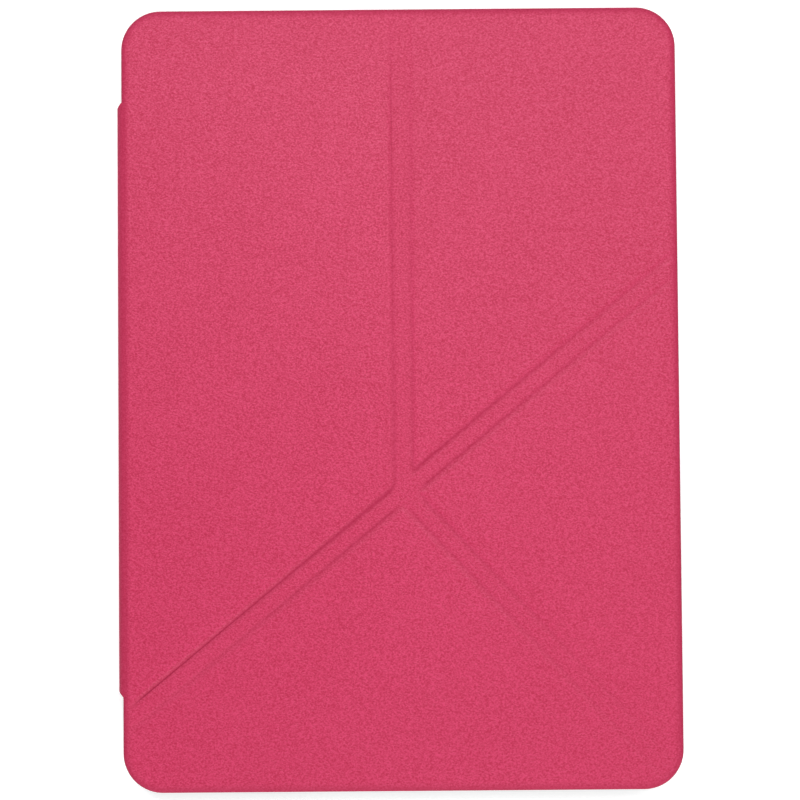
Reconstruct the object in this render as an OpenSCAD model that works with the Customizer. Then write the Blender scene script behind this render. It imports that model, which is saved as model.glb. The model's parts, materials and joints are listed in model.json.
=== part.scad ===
// Folding-cover tablet case: a hard tray that the tablet snaps into, a soft spine, and a front cover whose
// four boards fold about creases that meet at one point.
// The closed case lies on its back: +X runs from the spine to the free edge, +Y to the top, +Z out of the
// front cover. The origin is the centre of the case's outline, on the plane that its back rests on.

/* [Tablet] */
// Width of the tablet that the tray holds
tablet_w = 169.5; // [160:0.5:180]
// Height of the tablet
tablet_h = 240; // [225:0.5:255]
// Thickness of the tablet
tablet_t = 7.5; // [7:0.1:9]

/* [Tray] */
// Gap between the tablet and the tray on each side
fit_gap = 0.4; // [0.2:0.1:0.6]
// Thickness of the tray's walls
wall_t = 1.2; // [1:0.1:1.6]
// Thickness of the tray's floor
floor_t = 1.2; // [1:0.1:1.6]
// Rounding along the tray's outer bottom edge
edge_r = 3; // [2:0.1:3.5]
// Corner radius of the tray's pocket
pocket_r = 10.3; // [8:0.1:12]
// How far the snap lips reach in over the tablet
lip_w = 0.7; // [0.4:0.1:1]
// Thickness of the snap lips
lip_t = 0.6; // [0.5:0.1:0.8]
// Length of lip along each wall, beside each corner
lip_run = 14; // [6:1:20]

/* [Cover] */
// Width of the front cover
cover_w = 174.5; // [174:0.1:176]
// Height of the front cover
cover_h = 245; // [244:0.1:247]
// Corner radius of the front cover
cover_r = 12.4; // [11:0.1:14]
// Gap between the tray's rim and the cover's lining
cover_gap = 0.2; // [0.1:0.05:0.5]
// Width of the thin hem round the cover's boards
hem_w = 2; // [1.5:0.1:3]

/* [Sheets] */
// Thickness of the outer leatherette
skin_t = 0.7; // [0.5:0.05:0.8]
// Thickness of the cover's boards
board_t = 1.2; // [1:0.1:1.5]
// Thickness of the microfibre lining
lining_t = 0.4; // [0.3:0.05:0.5]

/* [Creases] */
// Height of the point where the creases meet, above the cover's bottom edge
crease_point_up = 93.2; // [85:0.1:105]
// How far that point stands to the right of the cover's middle
crease_point_aside = 0.6; // [-2:0.1:2]
// Slope of the long diagonal crease, from the lower left to the upper right
diagonal_angle = 39.5; // [36:0.1:42]
// Slope of the crease that runs down to the lower right corner
lower_right_slope = 46.6; // [44:0.1:49]
// Width of each crease, between the raised edges of two panels
crease_w = 5.6; // [5.4:0.1:7]

/* [Spine] */
// How far the spine stands out past the cover's edge
spine_proud = 1.5; // [1:0.1:2]
// Distance from the cover's top edge to the spine's top end
spine_from_top = 29; // [22:0.1:34]
// Distance from the cover's bottom edge to the spine's bottom end
spine_from_bottom = 29.9; // [27:0.1:34]
// Thickness of the spine's stiffener
spine_board_t = 0.5; // [0.4:0.05:0.6]
// Outer radius of the two soft bends at the spine's edges
bend_r = 2.5; // [2.2:0.1:2.6]

/* [Cut-outs] */
// Radius of the camera window in the tray's floor
camera_r = 6.5; // [5:0.1:8]
// Distance from the tablet's top and side edges to the camera's centre
camera_in = 12; // [11:0.1:15]
// Width of the charging port's slot
port_w = 15; // [12:0.5:20]
// Width of each speaker slot
speaker_w = 26; // [18:0.5:30]
// Distance of each speaker slot from the port's centre
speaker_out = 46; // [36:0.5:50]
// Height of the slots in the bottom wall
slot_t = 5.2; // [4.8:0.1:5.4]
// Radius of the audio socket's hole
jack_r = 3.4; // [2.8:0.1:3.6]
// Distance from the tablet's left edge to the audio socket
jack_in = 16; // [14:0.5:24]
// Width of the notch round the power button
power_w = 20; // [14:0.5:26]
// Distance from the tablet's right edge to the power button's centre
power_in = 28; // [26:0.5:36]
// Length of the notch round the volume buttons
volume_w = 34; // [24:0.5:40]
// Distance from the tablet's top edge to the volume buttons' centre
volume_in = 48; // [44:0.5:60]
// Height of the wall that is left under the button notches
notch_sill = 2.6; // [2.2:0.1:3]

/* [Magnets] */
// Length of each closure magnet
magnet_l = 10; // [6:0.5:14]
// Width of each closure magnet
magnet_w = 4; // [3:0.5:5]
// Distance from the cover's free edge to the magnets' centres
magnet_in = 7; // [6:0.1:10]
// Distance between the two magnets of a pair
magnet_pitch = 28; // [16:1:34]

/* [Hidden] */
$fn = 96;

far = 400;              // longer than any line that crosses the case
seam = 0.05;            // clearance between pieces that lie side by side
cut = 1;                // how far a cutter runs past what it cuts

// Plan of the case
cover_x = spine_proud / 2;
cover_left = cover_x - cover_w / 2;
cover_right = cover_x + cover_w / 2;
case_left = cover_left - spine_proud;
pocket_w = tablet_w + 2 * fit_gap;
pocket_h = tablet_h + 2 * fit_gap;
tray_w = pocket_w + 2 * wall_t;
tray_h = pocket_h + 2 * wall_t;
tray_r = pocket_r + wall_t;
inner_edge_r = edge_r - wall_t;

// Heights, from the back's skin up to the cover's skin
pocket_t = tablet_t + 0.1;
shell_h = floor_t + pocket_t + lip_t;
shell_top = skin_t + shell_h;
lining_z = shell_top + cover_gap;
board_z = lining_z + lining_t;
bond_z = board_z + board_t / 2;
cover_top = board_z + board_t + skin_t;
hem_bottom = bond_z - lining_t;
hem_top = bond_z + skin_t;
wall_mid_z = skin_t + floor_t + pocket_t / 2;

// Creases run out from one point, in these directions
crease_point = [cover_x + crease_point_aside, crease_point_up - cover_h / 2];
CREASES = [-lower_right_slope, diagonal_angle, 90, 180 + diagonal_angle];
LOWER_RIGHT = 0;
UPPER_RIGHT = 1;
VERTICAL = 2;
LOWER_LEFT = 3;

// Each panel lies between one crease and the next, anticlockwise
RIGHT = 0;
TOP = 1;
LEFT = 2;
BOTTOM = 3;

// Spine
spine_low = -cover_h / 2 + spine_from_bottom;
spine_high = cover_h / 2 - spine_from_top;
spine_len = spine_high - spine_low;
bend_t = skin_t + lining_t;
bend_x = case_left + bend_r;
spine_bottom_z = bend_r;
spine_top_z = hem_top - bend_r;
spine_t = skin_t + spine_board_t + lining_t;
spine_rim = 0.5;        // width of skin bonded straight to lining round the spine's stiffener

// Colours
PINK = [0.83, 0.31, 0.43];
LINING_GREY = [0.42, 0.41, 0.43];
SHELL_BLACK = [0.13, 0.13, 0.14];
BOARD_BROWN = [0.62, 0.55, 0.45];
SPINE_BOARD_WHITE = [0.85, 0.85, 0.83];
MAGNET_SILVER = [0.75, 0.76, 0.78];

function along(angle) = [cos(angle), sin(angle)];

// The directions of a panel's first and last crease
function first_angle(panel) = CREASES[panel];
function last_angle(panel) = CREASES[(panel + 1) % 4] + (panel == BOTTOM ? 360 : 0);

// A panel's corner nearest the crease point, when the panel stops at a distance from both its creases
function panel_corner(panel, back) =
    let (half = (last_angle(panel) - first_angle(panel)) / 2)
    crease_point + back / sin(half) * along(first_angle(panel) + half);

module rounded_rectangle(w, h, r) {
    square([w - 2 * r, h], center = true);
    square([w, h - 2 * r], center = true);
    for (x = [-1, 1], y = [-1, 1])
        translate([x * (w / 2 - r), y * (h / 2 - r)])
            circle(r);
}

// Outline of the front cover, drawn in by a distance all round
module cover_outline(inset) {
    translate([cover_x, 0])
        rounded_rectangle(cover_w - 2 * inset, cover_h - 2 * inset, cover_r - inset);
}

// Plan of one panel, back from its creases and in from the cover's edge
module panel_plan(panel, back, inset) {
    corner = panel_corner(panel, back);
    first = first_angle(panel);
    last = last_angle(panel);
    intersection() {
        cover_outline(inset);
        polygon([corner,
                 corner + far * along(first),
                 corner + far * along(first) + far * along(last),
                 corner + far * along(last)]);
    }
}

// Plan of one crease: the band between two panels, tapering to the crease point
module crease_plan(crease) {
    before = panel_corner((crease + 3) % 4, crease_w / 2 - seam);
    after = panel_corner(crease, crease_w / 2 - seam);
    run = far * along(CREASES[crease]);
    intersection() {
        cover_outline(0);
        polygon([crease_point, before, before + run, after + run, after]);
    }
}

// One side of a crease's centre line: side is -1 on its right and 1 on its left, looking outwards
module crease_side(crease, side) {
    translate(crease_point)
        rotate(CREASES[crease])
            translate([0, side > 0 ? seam : -far - seam])
                square([far, far]);
}

module slab(low, high) {
    translate([0, 0, low])
        linear_extrude(high - low)
            children();
}

// Where the soft bend to the spine takes the place of the cover's hem
module spine_bite() {
    translate([case_left - cut, spine_low])
        square([bend_x - case_left + cut, spine_len]);
}

// Outer sheet over one panel: a raised top, a hem round it and a pocket for the board's upper half
module panel_skin(panel) {
    color(PINK)
        difference() {
            union() {
                slab(bond_z, hem_top)
                    difference() {
                        panel_plan(panel, crease_w / 2, 0);
                        if (panel == LEFT) spine_bite();
                    }
                slab(bond_z, cover_top)
                    panel_plan(panel, crease_w / 2, hem_w);
            }
            slab(bond_z - cut, board_z + board_t)
                panel_plan(panel, crease_w / 2 + skin_t, hem_w + skin_t);
        }
}

// Inner sheet under one panel, the outer sheet's counterpart
module panel_lining(panel) {
    color(LINING_GREY)
        difference() {
            union() {
                slab(hem_bottom, bond_z)
                    difference() {
                        panel_plan(panel, crease_w / 2, 0);
                        if (panel == LEFT) spine_bite();
                    }
                slab(lining_z, bond_z)
                    panel_plan(panel, crease_w / 2, hem_w);
            }
            slab(board_z, bond_z + cut)
                panel_plan(panel, crease_w / 2 + skin_t, hem_w + skin_t);
        }
}

// Heights of a panel's pair of magnets
function magnet_heights(panel) =
    let (middle = panel == TOP ? 84 : -28)
    [middle - magnet_pitch / 2, middle + magnet_pitch / 2];

module magnet_plan(panel, grow) {
    for (y = magnet_heights(panel))
        translate([cover_right - magnet_in, y])
            square([magnet_w + 2 * grow, magnet_l + 2 * grow], center = true);
}

module panel_board(panel) {
    color(BOARD_BROWN)
        slab(board_z, board_z + board_t)
            difference() {
                panel_plan(panel, crease_w / 2 + skin_t + seam, hem_w + skin_t + seam);
                if (panel == TOP || panel == RIGHT) magnet_plan(panel, seam);
            }
}

module panel_magnets(panel) {
    color(MAGNET_SILVER)
        slab(board_z, board_z + board_t)
            magnet_plan(panel, 0);
}

// The soft band of skin and lining, bonded together, in one crease
module crease_strip(crease) {
    color(PINK)
        slab(hem_bottom, hem_top)
            crease_plan(crease);
}

module crease_half(crease, side) {
    color(PINK)
        slab(hem_bottom, hem_top)
            intersection() {
                crease_plan(crease);
                crease_side(crease, side);
            }
}

// Draws a shape in plan X, height Z, and runs it along the spine
module along_spine() {
    translate([0, spine_high, 0])
        rotate([90, 0, 0])
            linear_extrude(spine_len)
                children();
}

// A quarter of a ring about the middle of a bend, in the quadrant on the spine's side
module bend_section(middle_z, up) {
    translate([bend_x, middle_z])
        intersection() {
            difference() {
                circle(bend_r);
                circle(bend_r - bend_t);
            }
            translate([-bend_r, up ? 0 : -bend_r])
                square(bend_r);
        }
}

module front_hinge_strip() {
    color(PINK)
        along_spine()
            bend_section(spine_top_z, true);
}

module rear_hinge_strip() {
    color(PINK)
        along_spine()
            bend_section(spine_bottom_z, false);
}

module spine_layer(from_x, thick, rim) {
    along_spine()
        translate([case_left + from_x, spine_bottom_z + rim])
            square([thick, spine_top_z - spine_bottom_z - 2 * rim]);
}

module spine_skin() {
    color(PINK)
        spine_layer(0, skin_t, 0);
}

module spine_board_shape() {
    intersection() {
        spine_layer(skin_t, spine_board_t, spine_rim);
        translate([case_left, spine_low + spine_rim, 0])
            cube([spine_t, spine_len - 2 * spine_rim, cover_top]);
    }
}

module spine_board() {
    color(SPINE_BOARD_WHITE)
        spine_board_shape();
}

module spine_lining() {
    color(LINING_GREY)
        difference() {
            spine_layer(skin_t, spine_board_t + lining_t, 0);
            spine_board_shape();
        }
}

// Section through the tray's wall, measured out from the centre of a corner
module wall_section(with_lip) {
    difference() {
        union() {
            square([tray_r - edge_r, edge_r]);
            translate([0, edge_r])
                square([tray_r, shell_h - edge_r]);
            translate([tray_r - edge_r, edge_r])
                circle(edge_r);
        }
        translate([0, floor_t])
            square([pocket_r - inner_edge_r, inner_edge_r]);
        translate([0, floor_t + inner_edge_r])
            square([pocket_r, pocket_t - inner_edge_r]);
        translate([pocket_r - inner_edge_r, floor_t + inner_edge_r])
            circle(inner_edge_r);
        translate([0, floor_t + pocket_t - cut])
            square([pocket_r - (with_lip ? lip_w : 0), lip_t + 2 * cut]);
    }
}

module tray_corner(x, y) {
    translate([cover_x + x * (tray_w / 2 - tray_r), y * (tray_h / 2 - tray_r), skin_t])
        rotate(x > 0 ? (y > 0 ? 0 : 270) : (y > 0 ? 90 : 180))
            rotate_extrude(angle = 90)
                wall_section(true);
}

// One straight wall with the strip of floor beside it, facing in a direction, with lips at both its ends
module tray_side(angle, length, out) {
    plain = length - 2 * lip_run;
    translate([cover_x, 0, skin_t])
        rotate(angle)
            translate([out - tray_r, -length / 2, 0])
                rotate([90, 0, 180])
                    mirror([1, 0, 0]) {
                        linear_extrude(lip_run) wall_section(true);
                        translate([0, 0, lip_run])
                            linear_extrude(plain) wall_section(false);
                        translate([0, 0, lip_run + plain])
                            linear_extrude(lip_run) wall_section(true);
                    }
}

module tray_body() {
    for (x = [-1, 1], y = [-1, 1])
        tray_corner(x, y);
    for (angle = [0, 180])
        tray_side(angle, tray_h - 2 * tray_r, tray_w / 2);
    for (angle = [90, 270])
        tray_side(angle, tray_w - 2 * tray_r, tray_h / 2);
    translate([cover_x, 0, skin_t])
        linear_extrude(floor_t)
            square([tray_w - 2 * tray_r, tray_h - 2 * tray_r], center = true);
}

// A slot with round ends, through the top or bottom wall
module wall_slot(x, y, w) {
    for (side = [-1, 1])
        translate([x + side * (w - slot_t) / 2, y, wall_mid_z])
            rotate([90, 0, 0])
                cylinder(d = slot_t, h = 4 * wall_t, center = true);
    translate([x, y, wall_mid_z])
        cube([w - slot_t, 4 * wall_t, slot_t], center = true);
}

camera_x = cover_x + tablet_w / 2 - camera_in;
camera_y = tablet_h / 2 - camera_in;
wall_line_y = (pocket_h + wall_t) / 2;
wall_line_x = cover_x + (pocket_w + wall_t) / 2;
notch_z = skin_t + floor_t + notch_sill;

module tray_cutouts() {
    wall_slot(cover_x, -wall_line_y, port_w);
    for (side = [-1, 1])
        wall_slot(cover_x + side * speaker_out, -wall_line_y, speaker_w);
    translate([cover_x - tablet_w / 2 + jack_in, wall_line_y, wall_mid_z])
        rotate([90, 0, 0])
            cylinder(r = jack_r, h = 4 * wall_t, center = true);
    translate([cover_x + tablet_w / 2 - power_in - power_w / 2, wall_line_y - 2 * wall_t, notch_z])
        cube([power_w, 4 * wall_t, shell_h]);
    translate([wall_line_x - 2 * wall_t, tablet_h / 2 - volume_in - volume_w / 2, notch_z])
        cube([4 * wall_t, volume_w, shell_h]);
    translate([camera_x, camera_y, 0])
        cylinder(r = camera_r, h = shell_top);
}

module rear_shell() {
    color(SHELL_BLACK)
        difference() {
            tray_body();
            tray_cutouts();
        }
}

// Back sheet: it covers the tray's flat back and runs on to the bend at the spine
module rear_skin() {
    skin_border = edge_r + 0.2;
    color(PINK)
        slab(0, skin_t)
            difference() {
                union() {
                    translate([cover_x, 0])
                        rounded_rectangle(tray_w - 2 * skin_border, tray_h - 2 * skin_border,
                                          tray_r - edge_r);
                    translate([bend_x, spine_low])
                        square([tray_w / 4, spine_len]);
                }
                translate([camera_x, camera_y])
                    circle(camera_r + 0.8);
            }
}

rear_shell();
rear_skin();
rear_hinge_strip();
spine_skin();
spine_board();
spine_lining();
front_hinge_strip();
panel_skin(LEFT);  // left_skin
panel_board(LEFT);  // left_board
panel_lining(LEFT);  // left_lining
panel_skin(TOP);  // top_skin
panel_board(TOP);  // top_board
panel_lining(TOP);  // top_lining
panel_magnets(TOP);  // top_magnets
panel_skin(RIGHT);  // right_skin
panel_board(RIGHT);  // right_board
panel_lining(RIGHT);  // right_lining
panel_magnets(RIGHT);  // right_magnets
panel_skin(BOTTOM);  // bottom_skin
panel_board(BOTTOM);  // bottom_board
panel_lining(BOTTOM);  // bottom_lining
crease_strip(VERTICAL);  // vertical_crease
crease_strip(LOWER_LEFT);  // lower_left_crease
crease_strip(UPPER_RIGHT);  // upper_right_crease
crease_half(LOWER_RIGHT, 1);  // lower_right_crease_right_half
crease_half(LOWER_RIGHT, -1);  // lower_right_crease_bottom_half
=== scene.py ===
import json
import logging
import math
from dataclasses import dataclass, field
from enum import Enum
from typing import Callable, Sequence

import bmesh
import bpy
from mathutils import Matrix, Vector


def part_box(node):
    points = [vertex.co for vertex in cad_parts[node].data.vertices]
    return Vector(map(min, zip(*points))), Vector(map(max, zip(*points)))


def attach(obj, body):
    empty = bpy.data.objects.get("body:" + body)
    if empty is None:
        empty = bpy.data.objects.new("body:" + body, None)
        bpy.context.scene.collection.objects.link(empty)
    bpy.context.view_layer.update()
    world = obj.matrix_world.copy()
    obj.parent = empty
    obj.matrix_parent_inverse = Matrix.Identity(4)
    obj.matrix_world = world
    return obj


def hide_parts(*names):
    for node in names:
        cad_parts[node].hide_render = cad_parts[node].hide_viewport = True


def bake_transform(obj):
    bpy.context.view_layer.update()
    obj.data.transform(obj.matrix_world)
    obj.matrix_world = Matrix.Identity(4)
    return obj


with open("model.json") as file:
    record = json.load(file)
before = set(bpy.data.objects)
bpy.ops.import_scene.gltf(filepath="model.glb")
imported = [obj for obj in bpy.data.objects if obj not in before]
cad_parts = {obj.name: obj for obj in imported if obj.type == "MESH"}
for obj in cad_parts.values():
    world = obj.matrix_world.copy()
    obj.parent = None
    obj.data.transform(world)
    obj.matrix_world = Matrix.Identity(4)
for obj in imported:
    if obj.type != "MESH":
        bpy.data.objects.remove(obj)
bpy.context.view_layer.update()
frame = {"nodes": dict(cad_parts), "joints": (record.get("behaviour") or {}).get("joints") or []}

MM = 0.001
PAINTED_SHADE = "painted_shade"  # how much painted shade lies on the leatherette, in its grooves and along the cover's edge, from 0 to 1
TOUCH = 1e-6  # how near two places are to count as one
FRONT_LIFT = 0.35 * MM  # how far the front bend and the panel beside it rise above the bend's node
LOG = logging.getLogger("tablet_case")
Height = Callable[[float, float], float]
Place = Callable[[bpy.types.Object], object]
Colour = tuple[float, float, float, float]


class Side(Enum):
    """Panels of the front cover, in the order of their first creases, anticlockwise."""

    RIGHT = 0
    TOP = 1
    LEFT = 2
    BOTTOM = 3

    @property
    def stem(self) -> str:
        """The panel's name in its nodes and pieces."""
        return self.name.lower()

    @property
    def body(self) -> str:
        """The body that the panel belongs to."""
        return f"cover_{self.stem}"


class Fold(Enum):
    """Creases of the front cover, anticlockwise from the lower right."""

    LOWER_RIGHT = 0
    UPPER_RIGHT = 1
    VERTICAL = 2
    LOWER_LEFT = 3


class Slot(Enum):
    """Material slots of the part's record."""

    LEATHERETTE = "leatherette"
    LINING = "lining"
    SHELL = "shell"
    BOARD = "board"
    STIFFENER = "spine_stiffener"
    MAGNET = "magnet"


def ease_out(t: float) -> float:
    """A rise from 0 to 1 that starts steeply and ends level."""
    t = min(1.0, max(0.0, t))
    return 1.0 - (1.0 - t) ** 2


def smooth_step(t: float) -> float:
    """A rise from 0 to 1 that starts and ends level."""
    t = min(1.0, max(0.0, t))
    return t * t * (3.0 - 2.0 * t)


def mix(a: float, b: float, share: float) -> float:
    """The value a share of the way from a to b."""
    return a + (b - a) * share


# ---------------------------------------------------------------------------------------------------------
# Finishes
# ---------------------------------------------------------------------------------------------------------


class NodeWriter:
    """Adds nodes and links to one node tree.

    Args:
        tree: The node tree to write in.
    """

    def __init__(self, tree: bpy.types.NodeTree) -> None:
        self.tree = tree

    def add(self, kind: str, **values: object) -> bpy.types.Node:
        """Adds a node, sets its properties and its inputs by name.

        Args:
            kind: The node's type.
            values: Properties of the node, or inputs written as in_Name.

        Returns:
            The new node.
        """
        node = self.tree.nodes.new(kind)
        for name, value in values.items():
            if name.startswith("in_"):
                node.inputs[name[3:].replace("_", " ")].default_value = value
            else:
                setattr(node, name, value)
        return node

    def link(self, out: bpy.types.NodeSocket, into: bpy.types.NodeSocket) -> None:
        """Joins two sockets."""
        self.tree.links.new(out, into)

    def math(self, operation: str, a: object, b: object = 0.0) -> bpy.types.NodeSocket:
        """Adds a Math node.

        Args:
            operation: The operation's name.
            a: The first value or socket.
            b: The second value or socket.

        Returns:
            The result's socket.
        """
        node = self.add("ShaderNodeMath", operation=operation)
        for index, value in enumerate((a, b)):
            if isinstance(value, bpy.types.NodeSocket):
                self.link(value, node.inputs[index])
            else:
                node.inputs[index].default_value = float(value)
        return node.outputs[0]

    def blend(self, share: object, a: object, b: object) -> bpy.types.NodeSocket:
        """Adds a colour mix.

        Args:
            share: How much of b, as a value or socket.
            a: The first colour or socket.
            b: The second colour or socket.

        Returns:
            The mixed colour's socket.
        """
        node = self.add("ShaderNodeMix", data_type="RGBA")
        for index, value in ((0, share), (6, a), (7, b)):
            if isinstance(value, bpy.types.NodeSocket):
                self.link(value, node.inputs[index])
            else:
                node.inputs[index].default_value = value
        return node.outputs[2]


class GroupName(Enum):
    """Names of the shared node groups."""

    SILK = "silk_grain"
    NAP = "soft_nap"


def silk_grain() -> bpy.types.NodeTree:
    """Builds the leatherette's grain once: short, curled threads that cross at random.

    Returns:
        A group with Height, Fleck and Cloud outputs.
    """
    found = bpy.data.node_groups.get(GroupName.SILK.value)
    if found:
        return found
    tree = bpy.data.node_groups.new(GroupName.SILK.value, "ShaderNodeTree")
    for name in ("Height", "Fleck", "Cloud"):
        tree.interface.new_socket(name, in_out="OUTPUT", socket_type="NodeSocketFloat")
    w = NodeWriter(tree)
    leave = w.add("NodeGroupOutput")
    place = w.add("ShaderNodeTexCoord").outputs["Object"]
    threads = []
    for scale, turn in ((2000.0, 0.5), (2500.0, -0.6)):
        mapping = w.add("ShaderNodeMapping", in_Rotation=(0.0, 0.0, turn), in_Scale=(0.75, 1.0, 1.0))
        w.link(place, mapping.inputs["Vector"])
        noise = w.add("ShaderNodeTexNoise", in_Scale=scale, in_Detail=1.0, in_Roughness=0.4,
                      in_Distortion=0.5)
        w.link(mapping.outputs[0], noise.inputs["Vector"])
        threads.append(noise.outputs[0])
    crossed = w.math("ADD", threads[0], threads[1])
    spread = w.add("ShaderNodeMapRange", in_From_Min=0.72, in_From_Max=1.28)
    w.link(crossed, spread.inputs["Value"])
    grain = spread.outputs[0]
    fine = w.add("ShaderNodeTexNoise", in_Scale=2300.0, in_Detail=1.0, in_Roughness=0.5)
    w.link(place, fine.inputs["Vector"])
    cloud = w.add("ShaderNodeTexNoise", in_Scale=42.0, in_Detail=3.0, in_Roughness=0.5)
    w.link(place, cloud.inputs["Vector"])
    w.link(w.math("ADD", grain, w.math("MULTIPLY", fine.outputs[0], 0.4)), leave.inputs["Height"])
    w.link(grain, leave.inputs["Fleck"])
    w.link(cloud.outputs[0], leave.inputs["Cloud"])
    return tree


def soft_nap() -> bpy.types.NodeTree:
    """Builds the microfibre's nap once: fine fibres with brushed patches.

    Returns:
        A group with Height and Patch outputs.
    """
    found = bpy.data.node_groups.get(GroupName.NAP.value)
    if found:
        return found
    tree = bpy.data.node_groups.new(GroupName.NAP.value, "ShaderNodeTree")
    for name in ("Height", "Patch"):
        tree.interface.new_socket(name, in_out="OUTPUT", socket_type="NodeSocketFloat")
    w = NodeWriter(tree)
    leave = w.add("NodeGroupOutput")
    place = w.add("ShaderNodeTexCoord").outputs["Object"]
    fibres = w.add("ShaderNodeTexNoise", in_Scale=2600.0, in_Detail=2.0, in_Roughness=0.6)
    patches = w.add("ShaderNodeTexNoise", in_Scale=36.0, in_Detail=4.0, in_Roughness=0.55,
                    in_Distortion=0.7)
    w.link(place, fibres.inputs["Vector"])
    w.link(place, patches.inputs["Vector"])
    w.link(fibres.outputs[0], leave.inputs["Height"])
    w.link(patches.outputs[0], leave.inputs["Patch"])
    return tree


def blank_material(name: str) -> tuple[bpy.types.Material, NodeWriter, bpy.types.Node]:
    """Makes a material that holds one Principled shader.

    Args:
        name: The material's name.

    Returns:
        The material, a writer for its tree, and the shader.
    """
    material = bpy.data.materials.new(name)
    material.use_nodes = True
    writer = NodeWriter(material.node_tree)
    material.node_tree.nodes.clear()
    shader = writer.add("ShaderNodeBsdfPrincipled")
    out = writer.add("ShaderNodeOutputMaterial")
    writer.link(shader.outputs[0], out.inputs["Surface"])
    return material, writer, shader


@dataclass(frozen=True)
class Leatherette:
    """Coated cloth with a silk-like cross grain."""

    light: Colour = (0.640, 0.037, 0.130, 1.0)
    dark: Colour = (0.448, 0.001, 0.050, 1.0)
    # painted shade: the darker colour laid into the grooves and along the cover's edge, where shade falls
    painted_shade: Colour = (0.375, 0.008, 0.052, 1.0)
    painted_shade_share: float = 0.75
    rough_spread: tuple[float, float] = (0.08, -0.06)  # roughness added at the darkest and lightest threads
    fleck_weight: float = 0.92
    cloud_weight: float = 0.16
    roughness: float = 0.47
    # roughness where the painted shade lies, which dims the highlights there
    painted_shade_roughness: float = 0.85
    specular: float = 0.5
    grain_depth: float = 0.00005

    def build(self) -> bpy.types.Material:
        """Returns the material."""
        material, w, shader = blank_material("leatherette")
        shader.inputs["Specular IOR Level"].default_value = self.specular
        grain = w.add("ShaderNodeGroup", node_tree=silk_grain())
        tone = w.math("ADD", w.math("MULTIPLY", grain.outputs["Fleck"], self.fleck_weight),
                      w.math("MULTIPLY", grain.outputs["Cloud"], self.cloud_weight))
        spread = w.add("ShaderNodeMapRange", in_From_Min=0.08, in_From_Max=1.0)
        w.link(tone, spread.inputs["Value"])
        # painted shade: the base colour darkens towards the shade colour by the stored weight
        painted_shade_weight = w.add("ShaderNodeAttribute", attribute_name=PAINTED_SHADE)
        share = w.math("MULTIPLY", painted_shade_weight.outputs["Fac"], self.painted_shade_share)
        cloth = w.blend(spread.outputs[0], self.dark, self.light)
        w.link(w.blend(share, cloth, self.painted_shade), shader.inputs["Base Color"])
        rough = w.add("ShaderNodeMapRange", in_To_Min=self.roughness + self.rough_spread[0],
                      in_To_Max=self.roughness + self.rough_spread[1])
        w.link(grain.outputs["Fleck"], rough.inputs["Value"])
        matte = w.add("ShaderNodeMapRange", in_To_Max=self.painted_shade_roughness)
        w.link(painted_shade_weight.outputs["Fac"], matte.inputs["Value"])
        w.link(rough.outputs[0], matte.inputs["To Min"])
        w.link(matte.outputs[0], shader.inputs["Roughness"])
        bump = w.add("ShaderNodeBump", in_Strength=1.0, in_Distance=self.grain_depth)
        w.link(grain.outputs["Height"], bump.inputs["Height"])
        w.link(bump.outputs[0], shader.inputs["Normal"])
        return material


@dataclass(frozen=True)
class Microfibre:
    """Soft lining cloth."""

    light: Colour = (0.152, 0.146, 0.156, 1.0)
    dark: Colour = (0.130, 0.124, 0.133, 1.0)
    roughness: float = 0.92
    specular: float = 0.2
    sheen: float = 0.35
    sheen_roughness: float = 0.5
    nap_depth: float = 0.00005

    def build(self) -> bpy.types.Material:
        """Returns the material."""
        material, w, shader = blank_material("microfibre")
        shader.inputs["Specular IOR Level"].default_value = self.specular
        shader.inputs["Sheen Weight"].default_value = self.sheen
        shader.inputs["Sheen Roughness"].default_value = self.sheen_roughness
        shader.inputs["Roughness"].default_value = self.roughness
        nap = w.add("ShaderNodeGroup", node_tree=soft_nap())
        spread = w.add("ShaderNodeMapRange", in_From_Min=0.35, in_From_Max=0.65)
        w.link(nap.outputs["Patch"], spread.inputs["Value"])
        w.link(w.blend(spread.outputs[0], self.dark, self.light), shader.inputs["Base Color"])
        bump = w.add("ShaderNodeBump", in_Strength=1.0, in_Distance=self.nap_depth)
        w.link(nap.outputs["Height"], bump.inputs["Height"])
        w.link(bump.outputs[0], shader.inputs["Normal"])
        return material


@dataclass(frozen=True)
class Moulded:
    """Matte moulded plastic with a fine spark-eroded texture."""

    name: str
    colour: Colour
    roughness: float = 0.5
    texture_depth: float = 0.00001

    def build(self) -> bpy.types.Material:
        """Returns the material."""
        material, w, shader = blank_material(self.name)
        shader.inputs["Base Color"].default_value = self.colour
        shader.inputs["Roughness"].default_value = self.roughness
        place = w.add("ShaderNodeTexCoord").outputs["Object"]
        pits = w.add("ShaderNodeTexNoise", in_Scale=2800.0, in_Detail=1.0)
        w.link(place, pits.inputs["Vector"])
        bump = w.add("ShaderNodeBump", in_Strength=1.0, in_Distance=self.texture_depth)
        w.link(pits.outputs[0], bump.inputs["Height"])
        w.link(bump.outputs[0], shader.inputs["Normal"])
        return material


@dataclass(frozen=True)
class Plain:
    """An even finish."""

    name: str
    colour: Colour
    roughness: float = 0.6
    metallic: float = 0.0
    glow: float = 0.0

    def build(self) -> bpy.types.Material:
        """Returns the material."""
        material, _, shader = blank_material(self.name)
        shader.inputs["Base Color"].default_value = self.colour
        shader.inputs["Roughness"].default_value = self.roughness
        shader.inputs["Metallic"].default_value = self.metallic
        shader.inputs["Emission Color"].default_value = (1.0, 1.0, 1.0, 1.0)
        shader.inputs["Emission Strength"].default_value = self.glow
        return material


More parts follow.
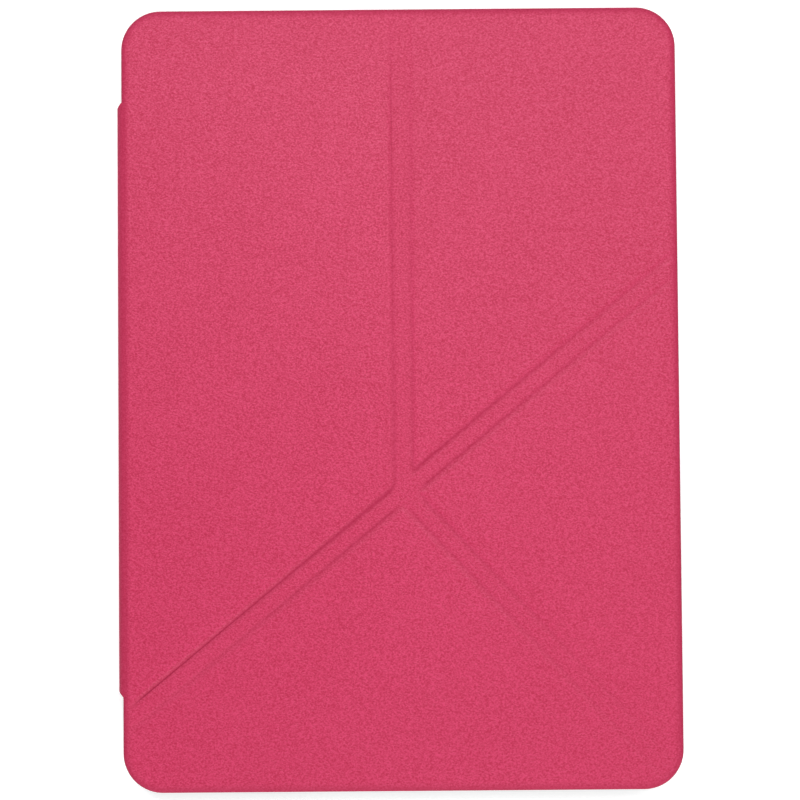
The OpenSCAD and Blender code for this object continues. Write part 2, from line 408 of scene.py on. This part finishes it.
@dataclass
class Wardrobe:
    """Every finish of the case, by the record's slot."""

    materials: dict[Slot, bpy.types.Material] = field(default_factory=dict)

    def build(self) -> None:
        """Makes the materials."""
        self.materials = {
            Slot.LEATHERETTE: Leatherette().build(),
            Slot.LINING: Microfibre().build(),
            Slot.SHELL: Moulded("tray_plastic", (0.016, 0.016, 0.018, 1.0), 0.46).build(),
            Slot.BOARD: Plain("greyboard", (0.34, 0.26, 0.18, 1.0), 0.9).build(),
            Slot.STIFFENER: Plain("stiffener_sheet", (0.68, 0.68, 0.65, 1.0), 0.5).build(),
            Slot.MAGNET: Plain("plated_magnet", (0.62, 0.63, 0.66, 1.0), 0.28, 1.0).build(),
        }

    def dress(self, piece: bpy.types.Object, slot: Slot) -> None:
        """Gives a piece the finish of its slot."""
        piece.data.materials.clear()
        piece.data.materials.append(self.materials[slot])


# ---------------------------------------------------------------------------------------------------------
# Mesh helpers
# ---------------------------------------------------------------------------------------------------------


def cut(bm: bmesh.types.BMesh, point: Vector, normal: Vector, clear: bool = False) -> None:
    """Cuts a mesh along a plane.

    Args:
        bm: The mesh.
        point: A point on the plane.
        normal: The plane's normal.
        clear: Whether to remove what lies on the normal's side.
    """
    bmesh.ops.bisect_plane(bm, geom=bm.verts[:] + bm.edges[:] + bm.faces[:], plane_co=point,
                           plane_no=normal, dist=1e-7, clear_outer=clear)


def plate_mesh(width: float, depth: float) -> bmesh.types.BMesh:
    """Makes one flat rectangle about the origin."""
    bm = bmesh.new()
    bmesh.ops.create_grid(bm, x_segments=1, y_segments=1, size=0.5)
    bmesh.ops.scale(bm, vec=(width, depth, 1.0), verts=bm.verts)
    return bm


def box_mesh(low: Vector, high: Vector) -> bmesh.types.BMesh:
    """Makes a box between two corners."""
    bm = bmesh.new()
    bmesh.ops.create_cube(bm, size=1.0)
    size, centre = high - low, (high + low) / 2
    bmesh.ops.scale(bm, vec=size, verts=bm.verts)
    bmesh.ops.translate(bm, vec=centre, verts=bm.verts)
    return bm


def finish_piece(bm: bmesh.types.BMesh, name: str, sharp: float = 38.0) -> bpy.types.Object:
    """Turns a mesh into a shown object, smooth but for its sharp edges.

    Args:
        bm: The mesh, which is freed.
        name: The piece's name.
        sharp: The angle in degrees past which an edge stays sharp.

    Returns:
        The object.
    """
    bmesh.ops.recalc_face_normals(bm, faces=bm.faces[:])
    for face in bm.faces:
        face.smooth = True
    for edge in bm.edges:
        edge.smooth = not (edge.is_manifold and edge.calc_face_angle(0.0) > math.radians(sharp))
    mesh = bpy.data.meshes.new(name)
    bm.to_mesh(mesh)
    bm.free()
    piece = bpy.data.objects.new(name, mesh)
    bpy.context.scene.collection.objects.link(piece)
    return piece


def plan_area(bm: bmesh.types.BMesh) -> float:
    """The area of a flat mesh."""
    return sum(face.calc_area() for face in bm.faces)


# ---------------------------------------------------------------------------------------------------------
# The cover's plan and its relief
# ---------------------------------------------------------------------------------------------------------


@dataclass(frozen=True)
class Border:
    """A straight border of a piece in plan: a point on it and the direction into the piece."""

    point: Vector
    inward: Vector

    def depth(self, x: float, y: float) -> float:
        """How far a point lies inside the border."""
        return (x - self.point.x) * self.inward.x + (y - self.point.y) * self.inward.y


@dataclass
class CoverPlan:
    """Outline, creases and panels of the front cover, seen from the front."""

    corner_radius: float = 12.4 * MM
    half_crease: float = 2.8 * MM
    lower_right_slope: float = 46.6
    corner_rounding: float = 1.7 * MM
    handover: float = 4 * MM  # the width over which one groove's strength gives way to the next
    calm_from: float = 2.6 * MM  # how far from the creases' point grooves start, but for the left panel's
    calm_run: float = 7 * MM
    strengths: tuple[float, ...] = (0.6, 1.0, 0.45, 1.0)  # the grooves' shares of the full depth and of the painted shade in them, by Fold
    rim_steps: tuple[float, ...] = (0.05, 0.13, 0.22, 0.26, 0.34, 0.45, 0.6, 0.8)
    low: Vector = field(init=False)
    high: Vector = field(init=False)
    meeting: Vector = field(init=False)
    angles: tuple[float, ...] = field(init=False)

    def __post_init__(self) -> None:
        """Reads the outline and the creases from the frame."""
        boxes = [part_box(f"{side.stem}_skin") for side in Side]
        self.low = Vector([min(b[0][i] for b in boxes) for i in range(3)])
        self.high = Vector([max(b[1][i] for b in boxes) for i in range(3)])
        joints = {j["name"]: j for j in frame["joints"]}
        self.meeting = Vector(joints["crease_vertical"]["pos_m"])
        upper, lower = joints["crease_upper_right"]["axis"], joints["crease_lower_left"]["axis"]
        self.angles = (math.radians(-self.lower_right_slope), math.atan2(upper[1], upper[0]), math.pi / 2,
                       math.atan2(lower[1], lower[0]) + 2 * math.pi)

    def along(self, fold: Fold) -> Vector:
        """The direction in which a crease runs out."""
        return Vector((math.cos(self.angles[fold.value]), math.sin(self.angles[fold.value]), 0.0))

    def across(self, fold: Fold) -> Vector:
        """The direction to the left of a crease, looking outwards."""
        run = self.along(fold)
        return Vector((-run.y, run.x, 0.0))

    def panel_borders(self, side: Side) -> list[Border]:
        """The two borders of a panel along its creases."""
        first, last = Fold(side.value), Fold((side.value + 1) % 4)
        return [Border(self.meeting + self.across(first) * self.half_crease, self.across(first)),
                Border(self.meeting - self.across(last) * self.half_crease, -self.across(last))]

    def strip_borders(self, fold: Fold) -> tuple[list[Border], list[Border]]:
        """The borders of a crease's band.

        Args:
            fold: The crease.

        Returns:
            Its two sides, and its two mitres at the point where the creases meet.
        """
        left = self.across(fold)
        sides = [Border(self.meeting + left * self.half_crease, -left),
                 Border(self.meeting - left * self.half_crease, left)]
        mitres = []
        own = self.angles[fold.value]
        for other, turn in (((fold.value + 1) % 4, 1.0), ((fold.value + 3) % 4, -1.0)):
            gap = (self.angles[other] - own) * turn % (2 * math.pi)
            middle = own + turn * gap / 2
            mitres.append(Border(self.meeting, Vector((math.sin(middle), -math.cos(middle), 0.0)) * turn))
        return sides, mitres

    def edge_depth(self, x: float, y: float) -> float:
        """How far a point lies inside the cover's outline."""
        centre, r = (self.low + self.high) / 2, self.corner_radius
        qx = abs(x - centre.x) - (self.high.x - self.low.x) / 2 + r
        qy = abs(y - centre.y) - (self.high.y - self.low.y) / 2 + r
        return r - math.hypot(max(qx, 0.0), max(qy, 0.0)) - min(max(qx, qy), 0.0)

    def panel_depth(self, x: float, y: float) -> tuple[float, float]:
        """How far a point lies inside the nearest panel, and how deep the groove along it is.

        Args:
            x: The point's place across the case.
            y: The point's place up the case.

        Returns:
            The depth inside the panel, whose corner is rounded, negative past its borders; and the share
            of the groove's full depth.
        """
        found, r = (-1.0, 1.0), self.corner_rounding
        away = math.hypot(x - self.meeting.x, y - self.meeting.y)
        for side in Side:
            a, b = (border.depth(x, y) for border in self.panel_borders(side))
            depth = max(r, min(a, b)) - math.hypot(max(r - a, 0.0), max(r - b, 0.0))
            if depth > found[0]:
                first, last = (self.strengths[(side.value + i) % 4] for i in (0, 1))
                strength = mix(last, first, smooth_step(0.5 + (b - a) / self.handover))
                if side is not Side.LEFT:
                    strength *= smooth_step((away - self.calm_from) / self.calm_run)
                found = (depth, strength)
        return found

    def outline(self) -> bmesh.types.BMesh:
        """The cover's outline as a flat mesh, with loops that follow its rim."""
        size, centre = self.high - self.low, (self.high + self.low) / 2
        bm = plate_mesh(size.x, size.y)
        bmesh.ops.translate(bm, vec=(centre.x, centre.y, 0.0), verts=bm.verts)
        bmesh.ops.bevel(bm, geom=bm.verts[:], offset=self.corner_radius, offset_type="OFFSET",
                        segments=20, profile=0.5, affect="VERTICES", material=-1)
        for step in self.rim_steps:
            inner = max(bm.faces, key=lambda f: f.calc_area())
            bmesh.ops.inset_region(bm, faces=[inner], thickness=step * MM, use_even_offset=True,
                                   use_boundary=True)
        return bm


@dataclass(frozen=True)
class Relief:
    """Heights of one face of the cover: its rim, its panels, and the grooves that bound each crease.

    The heights are measured from the middle of the cover, and away turns them up or down.
    """

    middle: float
    panel: float
    groove: float
    band: float
    rim: float = 1.5 * MM
    panel_roll: float = 1.7 * MM
    band_roll: float = 1.3 * MM
    fade_from: float = 1.2 * MM
    fade_run: float = 4.5 * MM
    # widths of the painted shade, across each groove and in from the cover's edge
    groove_shade_width: float = 0.8 * MM
    rim_shade_width: float = 1.9 * MM

    def fade(self, edge: float) -> float:
        """How much of the grooves is left at a distance from the outline."""
        return smooth_step((edge - self.fade_from) / self.fade_run)

    def painted_shade_weight(self, plan: CoverPlan, x: float, y: float) -> float:
        """How much painted shade lies at a point in plan, in a groove or along the cover's edge."""
        (depth, strength), edge = plan.panel_depth(x, y), plan.edge_depth(x, y)
        groove = math.exp(-(depth / self.groove_shade_width) ** 2) * strength * self.fade(edge)
        return max(groove, math.exp(-(edge / self.rim_shade_width) ** 2))

    def height(self, plan: CoverPlan, x: float, y: float) -> float:
        """The face's height above a point in plan.

        Args:
            plan: The cover's plan.
            x: The point's place across the case.
            y: The point's place up the case.

        Returns:
            The height, in metres.
        """
        (depth, strength), edge = plan.panel_depth(x, y), plan.edge_depth(x, y)
        groove = mix(self.band, self.groove, strength)
        if depth >= 0.0:
            level = mix(groove, self.panel, smooth_step(depth / self.panel_roll))
        else:
            level = mix(groove, self.band, smooth_step(-depth / self.band_roll))
        level = mix(self.panel, level, self.fade(edge))
        share = min(1.0, max(0.0, edge / self.rim))
        return self.middle + (level - self.middle) * math.sqrt(max(0.0, 1.0 - (1.0 - share) ** 2))


@dataclass
class SpineRoll:
    """Where the cover rolls over to the spine, in place of its rim."""

    low_y: float
    high_y: float
    edge_x: float
    edge_height: float
    rise: float = 1.3 * MM
    fade: float = 2.2 * MM
    reach: float = 4 * MM

    def adjust(self, x: float, y: float, height: float, top: float) -> float:
        """The outer face's height near the spine.

        Args:
            x: The point's place across the case.
            y: The point's place up the case.
            height: The height without the spine.
            top: The panel's own height.

        Returns:
            The height with the roll.
        """
        inside = min(y - self.low_y, self.high_y - y)
        if inside < 0.0 or x > self.edge_x + self.reach:
            return height
        rolled = mix(self.edge_height, top, ease_out((x - self.edge_x) / self.rise))
        return mix(height, min(max(rolled, self.edge_height), max(height, rolled)),
                   smooth_step(inside / self.fade))


@dataclass
class Cover:
    """The front cover: four stiff panels and the soft creases between them."""

    plan: CoverPlan
    wardrobe: Wardrobe
    panel_cuts: tuple[float, ...] = (0.14, 0.3, 0.5, 0.75, 1.0, 1.3, 1.7, 2.3, 3.0)
    strip_cuts: tuple[float, ...] = (0.14, 0.3, 0.5, 0.75, 1.0, 1.3, 1.75, 2.25, 2.8)
    run_cuts: tuple[float, ...] = (0.6, 1.2, 1.9, 2.7, 3.6, 4.6, 5.8, 7.5)
    bite_cuts: tuple[float, ...] = (0.2, 0.45, 0.8, 1.3)
    parting: float = 0.01 * MM
    groove_depth: float = 0.45 * MM
    band_depth: float = 0.16 * MM
    lining_band_depth: float = 0.60 * MM
    roll_start: float = 4 * MM  # how far from the creases' point the hidden rolls start
    roll_short: float = 10.2 * MM  # how much shorter they are than the way to the cover's square corner
    roll_turn: float = 53.0
    roll_gap: float = 0.34 * MM  # how much larger the bottom half's rolls are, to clear the right half's
    roll_steps: int = 10
    outer: Relief = field(init=False)
    inner: Relief = field(init=False)
    roll: SpineRoll = field(init=False)

    def __post_init__(self) -> None:
        """Reads the heights from the frame."""
        skin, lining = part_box("right_skin"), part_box("right_lining")
        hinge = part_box("front_hinge_strip")
        middle, top, bottom = skin[0][2], skin[1][2], lining[0][2]
        self.outer = Relief(middle, top, top - self.groove_depth, top - self.band_depth)
        self.inner = Relief(middle, bottom, bottom + self.groove_depth, bottom + self.lining_band_depth,
                            rim=1.2 * MM, fade_from=-0.01 * MM, fade_run=0.01 * MM)
        self.roll = SpineRoll(hinge[0][1], hinge[1][1], hinge[1][0], hinge[1][2] + FRONT_LIFT)

    def outer_height(self, x: float, y: float) -> float:
        """The height of the leatherette's face."""
        return self.roll.adjust(x, y, self.outer.height(self.plan, x, y), self.outer.panel)

    def inner_height(self, x: float, y: float) -> float:
        """The height of the lining's face."""
        return self.inner.height(self.plan, x, y)

    def bite(self, bm: bmesh.types.BMesh) -> None:
        """Takes out the stretch of a panel's rim that the spine's soft bend replaces."""
        roll, across, up = self.roll, Vector((1, 0, 0)), Vector((0, 1, 0))
        cut(bm, across * roll.edge_x, across)
        for y in (roll.low_y, roll.high_y, roll.low_y + roll.fade, roll.high_y - roll.fade):
            cut(bm, up * y, up)
        for step in self.bite_cuts:
            cut(bm, across * (roll.edge_x + step * MM), across)
        gone = [f for f in bm.faces if f.calc_center_median().x < roll.edge_x
                and roll.low_y < f.calc_center_median().y < roll.high_y]
        bmesh.ops.delete(bm, geom=gone, context="FACES")

    def flat_panel(self, side: Side) -> bmesh.types.BMesh:
        """A panel's plan, cut finely along its creases."""
        bm = self.plan.outline()
        for border in self.plan.panel_borders(side):
            cut(bm, border.point, -border.inward, clear=True)
        for border in self.plan.panel_borders(side):
            for step in self.panel_cuts:
                cut(bm, border.point + border.inward * step * MM, border.inward)
        if side is Side.LEFT:
            self.bite(bm)
        return bm

    def flat_strip(self, fold: Fold, half: int = 0) -> bmesh.types.BMesh:
        """A crease's plan, cut finely across.

        Args:
            fold: The crease.
            half: 1 for the part to the left of its middle, -1 for the right, 0 for all of it.

        Returns:
            The flat mesh.
        """
        bm = self.plan.outline()
        sides, mitres = self.plan.strip_borders(fold)
        for border in sides + mitres:
            cut(bm, border.point, -border.inward, clear=True)
        run, left = self.plan.along(fold), self.plan.across(fold)
        if half:
            cut(bm, self.plan.meeting + left * half * self.parting, left * -half, clear=True)
        for border in sides:
            for step in self.strip_cuts:
                cut(bm, border.point + border.inward * step * MM, border.inward)
        for step in self.run_cuts:
            cut(bm, self.plan.meeting + run * step * MM, run)
        return bm

    def raise_piece(self, bm: bmesh.types.BMesh, name: str, face: Height,
                    back: float) -> bpy.types.Object:
        """Gives a flat mesh its relief on one side and a flat back on the other.

        Args:
            bm: The flat mesh, which is used up.
            name: The piece's name.
            face: The height of the shown face above a point.
            back: The height of the hidden back.

        Returns:
            The closed piece.
        """
        # the painted shade's weight, stored on every vertex for the leatherette's colour
        painted_shade = bm.verts.layers.float.new(PAINTED_SHADE)
        shell = bmesh.ops.extrude_face_region(bm, geom=bm.faces[:])
        moved = {v for v in shell["geom"] if isinstance(v, bmesh.types.BMVert)}
        for vert in bm.verts:
            vert.co.z = face(vert.co.x, vert.co.y) if vert in moved else back
            vert[painted_shade] = self.outer.painted_shade_weight(self.plan, vert.co.x, vert.co.y)
        return finish_piece(bm, name)

    def add_pair(self, flat: Callable[[], bmesh.types.BMesh], name: str, cad: Sequence[str],
                 place: Place) -> None:
        """Adds the leatherette and the lining over one plan.

        Args:
            flat: Makes the flat mesh.
            name: The pieces' stem.
            cad: The nodes that the pair replaces: the outer one and the inner one, or one for both.
            place: Puts a piece on its body, or bakes it in place.
        """
        for suffix, face, slot, node in (("skin", self.outer_height, Slot.LEATHERETTE, cad[0]),
                                         ("lining", self.inner_height, Slot.LINING, cad[-1])):
            bm = flat()
            area = plan_area(bm)
            piece = self.raise_piece(bm, f"{name}_{suffix}_shaped", face, self.outer.middle)
            self.wardrobe.dress(piece, slot)
            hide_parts(node)
            place(piece)
            LOG.info("%s: %.0f square mm", piece.name, area / MM ** 2)

    @staticmethod
    def flat_size(piece: bpy.types.Object) -> tuple[float, float]:
        """A piece's width and length in plan."""
        xs, ys = [v.co.x for v in piece.data.vertices], [v.co.y for v in piece.data.vertices]
        return max(xs) - min(xs), max(ys) - min(ys)

    def bend_between(self) -> Place:
        """Gives a band its place, which stays as built, on no body.

        Returns:
            A function that bakes a piece's place into its mesh.
        """
        return lambda piece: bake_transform(piece)

    def build_panels(self) -> None:
        """Builds the skins and linings of the four panels."""
        for side in Side:
            self.add_pair(lambda: self.flat_panel(side), f"{side.stem}_panel",
                          (f"{side.stem}_skin", f"{side.stem}_lining"),
                          lambda piece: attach(piece, side.body))

    def build_creases(self) -> None:
        """Builds the bands between two panels, which stay as built."""
        for fold, first, last in ((Fold.VERTICAL, Side.TOP, Side.LEFT),
                                  (Fold.UPPER_RIGHT, Side.RIGHT, Side.TOP),
                                  (Fold.LOWER_LEFT, Side.LEFT, Side.BOTTOM)):
            reach = self.plan.across(fold) * -self.plan.half_crease
            node = f"{fold.name.lower()}_crease"
            self.add_pair(lambda: self.flat_strip(fold), node, (node,),
                          self.bend_between())

    def build_open_crease(self) -> None:
        """Builds the two halves of the open crease, which stay as built, and their rolled edges."""
        for half, own, beside, fold in ((1, Side.RIGHT, Side.TOP, Fold.UPPER_RIGHT),
                                        (-1, Side.BOTTOM, Side.LEFT, Fold.LOWER_LEFT)):
            reach = self.plan.across(fold) * self.plan.half_crease * half
            node = f"lower_right_crease_{own.stem}_half"
            self.add_pair(lambda: self.flat_strip(Fold.LOWER_RIGHT, half), node, (node,),
                          self.bend_between())
            self.build_rolls(half, own)

    def build_rolls(self, half: int, own: Side) -> None:
        """Builds the rolled edges inside the open crease, which close it on its outer side when it folds.

        Args:
            half: 1 for the half to the left of the crease, -1 for the right.
            own: The panel that the half belongs to.
        """
        run, pivot = self.plan.along(Fold.LOWER_RIGHT), self.plan.meeting
        corner = Vector((self.plan.high.x, self.plan.low.y))
        length = (corner - pivot.xy).length - self.roll_short
        out = 0.0 if half > 0 else self.roll_gap
        for part, slot, near, far in (("roll", Slot.LEATHERETTE, 1.20 * MM, 1.36 * MM),
                                      ("roll_lining", Slot.LINING, 1.38 * MM, 1.50 * MM)):
            bm = plate_mesh(length, far - near)
            bmesh.ops.rotate(bm, cent=(0, 0, 0), matrix=Matrix.Rotation(math.pi / 2, 3, "X"),
                             verts=bm.verts)
            bmesh.ops.translate(bm, vec=(length / 2 + self.roll_start, 0.0, -(near + far) / 2 - out),
                                verts=bm.verts)
            bmesh.ops.spin(bm, geom=bm.verts[:] + bm.edges[:] + bm.faces[:], cent=(0, 0, 0),
                           axis=(1, 0, 0), angle=math.radians(-self.roll_turn * half),
                           steps=self.roll_steps, use_merge=False)
            bmesh.ops.rotate(bm, cent=(0, 0, 0), matrix=Matrix.Rotation(math.atan2(run.y, run.x), 3, "Z"),
                             verts=bm.verts)
            bmesh.ops.translate(bm, vec=pivot, verts=bm.verts)
            piece = finish_piece(bm, f"lower_right_{own.stem}_{part}")
            self.wardrobe.dress(piece, slot)
            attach(piece, own.body)

    def build(self) -> None:
        """Builds every piece of the cover."""
        self.build_panels()
        self.build_creases()
        self.build_open_crease()


# ---------------------------------------------------------------------------------------------------------
# The spine
# ---------------------------------------------------------------------------------------------------------


@dataclass
class Spine:
    """The spine's flat back and the two soft bends that join it to the cover and to the tray."""

    wardrobe: Wardrobe
    skin_thick: float = 0.7 * MM
    lining_thick: float = 0.4 * MM
    chamfer: float = 1.7 * MM
    proud: float = 1.5 * MM
    core_short: float = 2.2 * MM  # how far the stiffener stops short of the spine's ends
    core_narrow: float = 0.55 * MM  # and of its two long borders
    bend_steps: int = 14
    # the painted shade's weight where the front bend reaches the cover's face
    edge_shade_weight: float = 0.76

    def chamfer_ends(self, bm: bmesh.types.BMesh, low_y: float, high_y: float, outer_x: float) -> None:
        """Slants the ends of a piece where it stands out past the cover.

        Args:
            bm: The piece's mesh.
            low_y: The spine's lower end.
            high_y: The spine's upper end.
            outer_x: The spine's outer face.
        """
        for y in (low_y + 2 * self.chamfer, high_y - 2 * self.chamfer):
            cut(bm, Vector((0.0, y, 0.0)), Vector((0, 1, 0)))
        for vert in bm.verts:
            slant = self.chamfer * min(1.0, max(0.0, 1.0 - (vert.co.x - outer_x) / self.proud))
            if abs(vert.co.y - high_y) < TOUCH:
                vert.co.y -= slant
            if abs(vert.co.y - low_y) < TOUCH:
                vert.co.y += slant

    def taper(self, bm: bmesh.types.BMesh, low: Vector, high: Vector, drop: float) -> None:
        """Brings the borders of the lining down past the stiffener to the leatherette.

        Args:
            bm: The lining's mesh.
            low: Its low corner.
            high: Its high corner.
            drop: The stiffener's thickness.
        """
        for y in (low.y + self.core_short, high.y - self.core_short):
            cut(bm, Vector((0.0, y, 0.0)), Vector((0, 1, 0)))
        for z in (low.z + self.core_narrow, high.z - self.core_narrow):
            cut(bm, Vector((0.0, 0.0, z)), Vector((0, 0, 1)))
        for vert in bm.verts:
            if min(vert.co.y - low.y, high.y - vert.co.y, vert.co.z - low.z, high.z - vert.co.z) < TOUCH:
                vert.co.x -= drop

    def paint_edge_shade(self, bm: bmesh.types.BMesh, foot: float, radius: float) -> None:
        """Paints shade along the cover's edge in the front bend, fading out where the spine's flat back
        begins.

        Args:
            bm: The bend's mesh.
            foot: The height at which the bend meets the spine's back.
            radius: The bend's radius.
        """
        painted_shade = bm.verts.layers.float.new(PAINTED_SHADE)
        for vert in bm.verts:
            share = (vert.co.z - foot) / radius
            vert[painted_shade] = mix(1.0, self.edge_shade_weight, min(1.0, share)) * smooth_step(share / 0.6)

    def bend(self, name: str, node: str, centre: Vector, up: bool) -> None:
        """Builds one soft bend, as an outer sheet and a lining.

        Args:
            name: The pieces' stem.
            node: The node that they replace.
            centre: The middle of the bend's curve.
            up: Whether the bend rolls up to the cover, or down to the back.
        """
        low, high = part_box(node)
        radius, length = high[0] - low[0], high[1] - low[1]
        turn = -1.0 if up else 1.0
        outer_x = low[0]
        for part, slot, far, near in (("skin", Slot.LEATHERETTE, radius, radius - self.skin_thick),
                                      ("lining", Slot.LINING, radius - self.skin_thick,
                                       radius - self.skin_thick - self.lining_thick)):
            bm = plate_mesh(far - near, length)
            bmesh.ops.translate(bm, vec=(centre.x - (far + near) / 2, (low[1] + high[1]) / 2, centre.z),
                                verts=bm.verts)
            bmesh.ops.spin(bm, geom=bm.verts[:] + bm.edges[:] + bm.faces[:], cent=centre, axis=(0, 1, 0),
                           angle=math.radians(-90.0 * turn), steps=self.bend_steps, use_merge=False)
            if up:
                bmesh.ops.scale(bm, vec=(1.0, 1.0, 1.0 + FRONT_LIFT / radius), verts=bm.verts,
                                space=Matrix.Translation(-centre))
            self.chamfer_ends(bm, low[1], high[1], outer_x)
            # painted shade along the cover's edge in the front bend
            if up:
                self.paint_edge_shade(bm, centre.z, radius)
            piece = finish_piece(bm, f"{name}_{part}_shaped")
            self.wardrobe.dress(piece, slot)
            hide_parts(node)
            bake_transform(piece)

    def build(self) -> None:
        """Builds the spine."""
        skin, board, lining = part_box("spine_skin"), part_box("spine_board"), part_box("spine_lining")
        outer_x = skin[0][0]
        plates = (("spine_back_shaped", "spine_skin", Slot.LEATHERETTE, skin[0][0], skin[1][0], 0.0),
                  ("spine_core_shaped", "spine_board", Slot.STIFFENER, board[0][0], board[1][0], 1.0),
                  ("spine_face_shaped", "spine_lining", Slot.LINING, board[1][0], lining[1][0], 0.0))
        for name, node, slot, near, far, inset in plates:
            short, narrow = self.core_short * inset, self.core_narrow * inset
            low = Vector((near, skin[0][1] + short, skin[0][2] + narrow))
            high = Vector((far, skin[1][1] - short, skin[1][2] - narrow))
            bm = box_mesh(low, high)
            if slot is Slot.LINING:
                self.taper(bm, low, high, board[1][0] - board[0][0])
            if not inset:
                self.chamfer_ends(bm, low.y, high.y, outer_x)
            piece = finish_piece(bm, name)
            self.wardrobe.dress(piece, slot)
            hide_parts(node)
            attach(piece, "spine")
        front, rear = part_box("front_hinge_strip"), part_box("rear_hinge_strip")
        self.bend("front_hinge", "front_hinge_strip", Vector((front[1][0], 0.0, front[0][2])), True)
        self.bend("rear_hinge", "rear_hinge_strip", Vector((rear[1][0], 0.0, rear[1][2])), False)


# ---------------------------------------------------------------------------------------------------------
# The tray and the back
# ---------------------------------------------------------------------------------------------------------


@dataclass
class Tray:
    """The moulded tray and the leatherette on its back."""

    wardrobe: Wardrobe
    edge_break: float = 0.18 * MM

    def softened(self, node: str, name: str, offset: float) -> bpy.types.Object:
        """Copies a node with its sharp edges broken.

        Args:
            node: The node.
            name: The piece's name.
            offset: How far each edge is broken.

        Returns:
            The piece.
        """
        bm = bmesh.new()
        bm.from_mesh(frame["nodes"][node].data)
        bmesh.ops.remove_doubles(bm, verts=bm.verts[:], dist=1e-6)
        bmesh.ops.dissolve_limit(bm, angle_limit=math.radians(0.3), verts=bm.verts[:], edges=bm.edges[:])
        sharp = [e for e in bm.edges if e.is_manifold and e.calc_face_angle(0.0) > math.radians(40.0)]
        bmesh.ops.bevel(bm, geom=sharp, offset=offset, offset_type="OFFSET", segments=2, profile=0.5,
                        affect="EDGES", clamp_overlap=True, material=-1)
        return finish_piece(bm, name)

    def build(self) -> None:
        """Builds the tray and its back."""
        for node, name, slot, offset in (("rear_shell", "tray_shaped", Slot.SHELL, self.edge_break),
                                         ("rear_skin", "back_skin_shaped", Slot.LEATHERETTE, 0.25 * MM)):
            piece = self.softened(node, name, offset)
            self.wardrobe.dress(piece, slot)
            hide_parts(node)
            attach(piece, "rear_case")
            LOG.info("%s: %d faces", name, len(piece.data.polygons))


@dataclass
class Core:
    """The boards and magnets that the cover's sheets enclose."""

    wardrobe: Wardrobe

    def build(self) -> None:
        """Dresses the enclosed nodes."""
        for name in frame["nodes"]:
            if name.endswith("_board") and name != "spine_board":
                self.wardrobe.dress(frame["nodes"][name], Slot.BOARD)
            elif name.endswith("_magnets"):
                self.wardrobe.dress(frame["nodes"][name], Slot.MAGNET)


# ---------------------------------------------------------------------------------------------------------
# The studio
# ---------------------------------------------------------------------------------------------------------


@dataclass
class Lamp:
    """One soft rectangular light that faces the case."""

    name: str
    place: tuple[float, float, float]
    size: tuple[float, float]
    power: float
    aim: tuple[float, float, float] = (0.0, 0.0, 0.0)

    def build(self) -> None:
        """Adds the light."""
        data = bpy.data.lights.new(self.name, "AREA")
        data.shape, data.energy = "RECTANGLE", self.power
        data.size, data.size_y = self.size
        lamp = bpy.data.objects.new(self.name, data)
        lamp.location = self.place
        lamp.rotation_euler = (Vector(self.aim) - Vector(self.place)).to_track_quat("-Z", "Y").to_euler()
        bpy.context.scene.collection.objects.link(lamp)


@dataclass
class Studio:
    """A pale floor, soft light and the camera above the case.

    The floor lies a hair below the case, so that the two faces don't share a plane.
    """

    camera_place: tuple[float, float, float] = (0.001238, -0.019548, 0.602804)
    camera_turn: tuple[float, float, float] = (1.824, 0.084, -0.461)
    lens: float = 85.0
    floor_half: float = 4.0
    floor_drop: float = 0.05 * MM
    floor_glow: float = 0.34
    world_strength: float = 0.22
    lamps: tuple[Lamp, ...] = (
        Lamp("key", (-0.35, 1.35, 0.85), (1.2, 0.8), 7.6),
        Lamp("top", (0.12, 0.45, 1.1), (1.6, 0.5), 9.7),
        Lamp("fill", (0.2, -1.4, 0.95), (1.8, 0.8), 21.0),
    )

    def build_floor(self) -> None:
        """Builds the floor."""
        bm = plate_mesh(2 * self.floor_half, 2 * self.floor_half)
        bmesh.ops.translate(bm, vec=(0.0, 0.0, -self.floor_drop), verts=bm.verts)
        floor = finish_piece(bm, "floor")
        pale = Plain("pale_floor", (0.96, 0.96, 0.96, 1.0), 1.0, glow=self.floor_glow)
        floor.data.materials.append(pale.build())

    def build_light(self) -> None:
        """Builds the sky and the lamps."""
        world = bpy.data.worlds.new("soft_sky")
        world.use_nodes = True
        background = world.node_tree.nodes["Background"]
        background.inputs["Color"].default_value = (1.0, 1.0, 1.0, 1.0)
        background.inputs["Strength"].default_value = self.world_strength
        bpy.context.scene.world = world
        for lamp in self.lamps:
            lamp.build()

    def build_camera(self) -> None:
        """Places the camera and makes it the scene's."""
        data = bpy.data.cameras.new("front_camera")
        data.lens, data.sensor_width = self.lens, 36.0
        camera = bpy.data.objects.new("front_camera", data)
        camera.location = self.camera_place
        camera.rotation_euler = [math.radians(angle) for angle in self.camera_turn]
        bpy.context.scene.collection.objects.link(camera)
        bpy.context.scene.camera = camera

    def build(self) -> None:
        """Builds the studio."""
        self.build_floor()
        self.build_light()
        self.build_camera()
        bpy.context.scene.view_settings.view_transform = "Standard"


def main() -> None:
    """Builds the case and its studio."""
    logging.basicConfig(level=logging.INFO, format="%(message)s")
    wardrobe = Wardrobe()
    wardrobe.build()
    Tray(wardrobe).build()
    Spine(wardrobe).build()
    Cover(CoverPlan(), wardrobe).build()
    Core(wardrobe).build()
    Studio().build()


if __name__ == "__main__":
    main()
